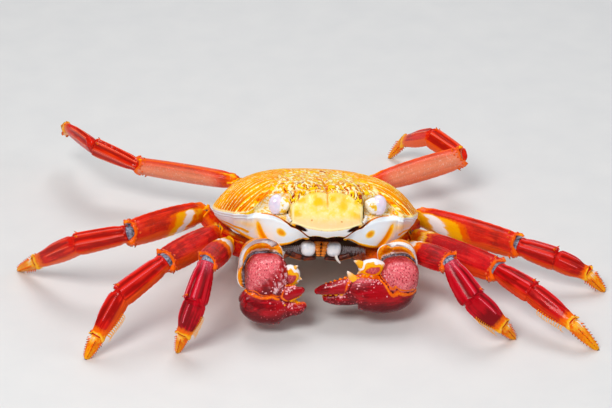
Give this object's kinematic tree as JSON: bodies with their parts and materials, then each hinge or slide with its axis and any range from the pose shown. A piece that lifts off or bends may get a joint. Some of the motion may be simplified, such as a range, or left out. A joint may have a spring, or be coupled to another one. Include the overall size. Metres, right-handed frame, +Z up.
{
  "type": "crab museum model",
  "caption": "Life-size still model of a live shore crab standing on its toes, front raised, claws folded in front, red legs spread and a domed yellow and orange shell.",
  "frame": {"origin": "on the floor, under the middle of the shell", "axes": "+Z up, the crab faces -Y, its left side is +X"},
  "size_m": [0.227, 0.1814, 0.0492],
  "materials": {
    "shell_dorsal": "wet glossy shell, orange and yellow with fine curved lines",
    "shell_pale": "smooth white shell with yellow and orange edges",
    "eye": "pale lilac, glossy",
    "mouth_plate": "orange and pale shell with grey bristles",
    "claw_shell": "wet glossy crimson shell with fine grains and yellow teeth",
    "leg_shell": "glossy red shell with orange and yellow edges"
  },
  "bodies": {
    "root": {"carapace": "shell_dorsal", "chest": "shell_pale", "abdomen": "shell_pale", "eyestalk_left": "shell_dorsal", "eye_left": "eye", "jaw_left": "shell_pale", "mouth_plate_left": "mouth_plate", "claw_left_palm": "claw_shell", "claw_left_wrist": "claw_shell", "claw_left_arm": "shell_pale", "claw_left_finger": "claw_shell", "eyestalk_right": "shell_dorsal", "eye_right": "eye", "jaw_right": "shell_pale", "mouth_plate_right": "mouth_plate", "claw_right_palm": "claw_shell", "claw_right_wrist": "claw_shell", "claw_right_arm": "shell_pale", "claw_right_finger": "claw_shell", "leg_left_1_hip": "leg_shell", "leg_left_1_thigh": "leg_shell", "leg_left_1_knee": "leg_shell", "leg_left_1_shin": "leg_shell", "leg_left_1_toe": "leg_shell", "leg_left_2_hip": "leg_shell", "leg_left_2_thigh": "leg_shell", "leg_left_2_knee": "leg_shell", "leg_left_2_shin": "leg_shell", "leg_left_2_toe": "leg_shell", "leg_left_3_hip": "leg_shell", "leg_left_3_thigh": "leg_shell", "leg_left_3_knee": "leg_shell", "leg_left_3_shin": "leg_shell", "leg_left_3_toe": "leg_shell", "leg_left_4_hip": "leg_shell", "leg_left_4_thigh": "leg_shell", "leg_left_4_knee": "leg_shell", "leg_left_4_shin": "leg_shell", "leg_left_4_toe": "leg_shell", "leg_right_1_hip": "leg_shell", "leg_right_1_thigh": "leg_shell", "leg_right_1_knee": "leg_shell", "leg_right_1_shin": "leg_shell", "leg_right_1_toe": "leg_shell", "leg_right_2_hip": "leg_shell", "leg_right_2_thigh": "leg_shell", "leg_right_2_knee": "leg_shell", "leg_right_2_shin": "leg_shell", "leg_right_2_toe": "leg_shell", "leg_right_3_hip": "leg_shell", "leg_right_3_thigh": "leg_shell", "leg_right_3_knee": "leg_shell", "leg_right_3_shin": "leg_shell", "leg_right_3_toe": "leg_shell", "leg_right_4_hip": "leg_shell", "leg_right_4_thigh": "leg_shell", "leg_right_4_knee": "leg_shell", "leg_right_4_shin": "leg_shell", "leg_right_4_toe": "leg_shell"}
  },
  "joints": []
}
